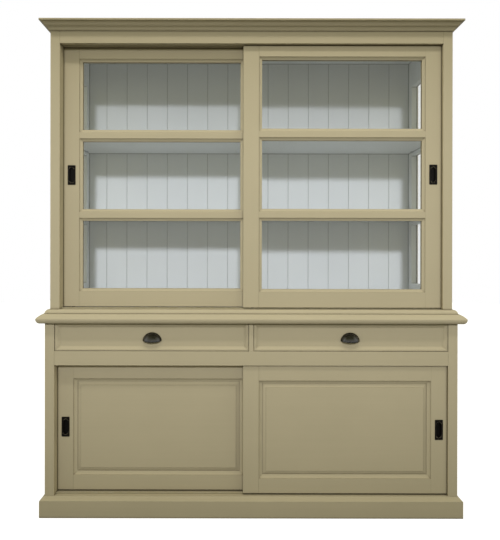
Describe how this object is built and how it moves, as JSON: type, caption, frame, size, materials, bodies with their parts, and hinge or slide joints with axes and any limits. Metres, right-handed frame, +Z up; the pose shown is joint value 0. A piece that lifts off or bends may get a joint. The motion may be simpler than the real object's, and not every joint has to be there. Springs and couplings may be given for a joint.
{
  "type": "china cabinet",
  "caption": "China cabinet: glazed upper cabinet with sliding doors and shelves on a sideboard with drawers and sliding panelled doors, under a cornice.",
  "frame": {"origin": "on the floor, under the middle of the worktop's outline, which is the widest and deepest part", "axes": "+Z up; the doors and drawers face -Y; +X is to the right as seen from the front"},
  "size_m": [1.9, 0.48, 2.209],
  "materials": {
    "paint": "painted, eggshell sheen",
    "interior_paint": "painted, eggshell sheen",
    "bare_timber": "planed, clear oiled",
    "glass": "clear",
    "dark_metal": "dark bronzed, satin",
    "painted_track": "painted with the cabinet, worn on top",
    "nylon": "matt",
    "steel": "zinc plated"
  },
  "bodies": {
    "carcass": {"plinth_front": "paint", "plinth_returns": "paint", "base_left_frame": "paint", "base_right_frame": "paint", "base_side_panels": "paint", "drawer_rail": "paint", "drawer_divider": "paint", "base_bottom": "paint", "worktop": "paint", "upper_base_board": "paint", "upper_left_frame": "paint", "upper_right_frame": "paint", "upper_header": "paint", "upper_door_guide": "paint", "cornice_front": "paint", "cornice_returns": "paint", "upper_top_board": "interior_paint", "upper_back_boards": "interior_paint", "upper_shelf_high": "interior_paint", "upper_shelf_low": "interior_paint", "base_back": "bare_timber", "base_partition": "bare_timber", "base_shelves": "bare_timber", "base_shelf_cleats": "bare_timber", "drawer_deck": "bare_timber", "drawer_runners": "bare_timber", "base_door_guide": "bare_timber", "base_door_tracks": "painted_track", "upper_door_tracks": "painted_track", "shelf_pins": "steel", "joining_screws": "steel", "side_glass": "glass"},
    "upper_left_door": {"upper_left_door_frame": "paint", "upper_left_door_glass": "glass", "upper_left_door_pull": "dark_metal"},
    "upper_left_door_wheel_a": {"upper_left_door_wheel_a": "nylon"},
    "upper_left_door_wheel_b": {"upper_left_door_wheel_b": "nylon"},
    "upper_right_door": {"upper_right_door_frame": "paint", "upper_right_door_glass": "glass", "upper_right_door_pull": "dark_metal"},
    "upper_right_door_wheel_a": {"upper_right_door_wheel_a": "nylon"},
    "upper_right_door_wheel_b": {"upper_right_door_wheel_b": "nylon"},
    "base_left_door": {"base_left_door_frame": "paint", "base_left_door_panel": "paint", "base_left_door_pull": "dark_metal"},
    "base_left_door_wheel_a": {"base_left_door_wheel_a": "nylon"},
    "base_left_door_wheel_b": {"base_left_door_wheel_b": "nylon"},
    "base_right_door": {"base_right_door_frame": "paint", "base_right_door_panel": "paint", "base_right_door_pull": "dark_metal"},
    "base_right_door_wheel_a": {"base_right_door_wheel_a": "nylon"},
    "base_right_door_wheel_b": {"base_right_door_wheel_b": "nylon"},
    "left_drawer": {"left_drawer_front": "paint", "left_drawer_box": "bare_timber", "left_drawer_bottom": "bare_timber", "left_drawer_pull": "dark_metal"},
    "right_drawer": {"right_drawer_front": "paint", "right_drawer_box": "bare_timber", "right_drawer_bottom": "bare_timber", "right_drawer_pull": "dark_metal"}
  },
  "joints": [
    {"name": "upper_left_door_slide", "type": "slide", "parent": "carcass", "child": "upper_left_door", "axis": [1, 0, 0], "range_m": [0, 0.824]},
    {"name": "upper_left_door_wheel_a_spin", "type": "hinge", "parent": "upper_left_door", "child": "upper_left_door_wheel_a", "pos_m": [-0.818, -0.133, 0.9348], "axis": [0, 1, 0], "range_deg": [0, 4400]},
    {"name": "upper_left_door_wheel_b_spin", "type": "hinge", "parent": "upper_left_door", "child": "upper_left_door_wheel_b", "pos_m": [-0.006, -0.133, 0.9348], "axis": [0, 1, 0], "range_deg": [0, 4400]},
    {"name": "upper_right_door_slide", "type": "slide", "parent": "carcass", "child": "upper_right_door", "axis": [-1, 0, 0], "range_m": [0, 0.824]},
    {"name": "upper_right_door_wheel_a_spin", "type": "hinge", "parent": "upper_right_door", "child": "upper_right_door_wheel_a", "pos_m": [0.006, -0.163, 0.9348], "axis": [0, -1, 0], "range_deg": [0, 4400]},
    {"name": "upper_right_door_wheel_b_spin", "type": "hinge", "parent": "upper_right_door", "child": "upper_right_door_wheel_b", "pos_m": [0.818, -0.163, 0.9348], "axis": [0, -1, 0], "range_deg": [0, 4400]},
    {"name": "base_left_door_slide", "type": "slide", "parent": "carcass", "child": "base_left_door", "axis": [1, 0, 0], "range_m": [0, 0.841]},
    {"name": "base_left_door_wheel_a_spin", "type": "hinge", "parent": "base_left_door", "child": "base_left_door_wheel_a", "pos_m": [-0.835, -0.158, 0.1068], "axis": [0, 1, 0], "range_deg": [0, 4400]},
    {"name": "base_left_door_wheel_b_spin", "type": "hinge", "parent": "base_left_door", "child": "base_left_door_wheel_b", "pos_m": [-0.006, -0.158, 0.1068], "axis": [0, 1, 0], "range_deg": [0, 4400]},
    {"name": "base_right_door_slide", "type": "slide", "parent": "carcass", "child": "base_right_door", "axis": [-1, 0, 0], "range_m": [0, 0.841]},
    {"name": "base_right_door_wheel_a_spin", "type": "hinge", "parent": "base_right_door", "child": "base_right_door_wheel_a", "pos_m": [0.006, -0.188, 0.1068], "axis": [0, -1, 0], "range_deg": [0, 4400]},
    {"name": "base_right_door_wheel_b_spin", "type": "hinge", "parent": "base_right_door", "child": "base_right_door_wheel_b", "pos_m": [0.835, -0.188, 0.1068], "axis": [0, -1, 0], "range_deg": [0, 4400]},
    {"name": "left_drawer_slide", "type": "slide", "parent": "carcass", "child": "left_drawer", "axis": [0, -1, 0], "range_m": [0, 0.3]},
    {"name": "right_drawer_slide", "type": "slide", "parent": "carcass", "child": "right_drawer", "axis": [0, -1, 0], "range_m": [0, 0.3]}
  ],
  "couplings": [
    {"joint": "upper_left_door_wheel_a_spin", "follows": "upper_left_door_slide", "rad_per_m": 90.909},
    {"joint": "upper_left_door_wheel_b_spin", "follows": "upper_left_door_slide", "rad_per_m": 90.909},
    {"joint": "upper_right_door_wheel_a_spin", "follows": "upper_right_door_slide", "rad_per_m": 90.909},
    {"joint": "upper_right_door_wheel_b_spin", "follows": "upper_right_door_slide", "rad_per_m": 90.909},
    {"joint": "base_left_door_wheel_a_spin", "follows": "base_left_door_slide", "rad_per_m": 90.909},
    {"joint": "base_left_door_wheel_b_spin", "follows": "base_left_door_slide", "rad_per_m": 90.909},
    {"joint": "base_right_door_wheel_a_spin", "follows": "base_right_door_slide", "rad_per_m": 90.909},
    {"joint": "base_right_door_wheel_b_spin", "follows": "base_right_door_slide", "rad_per_m": 90.909}
  ]
}
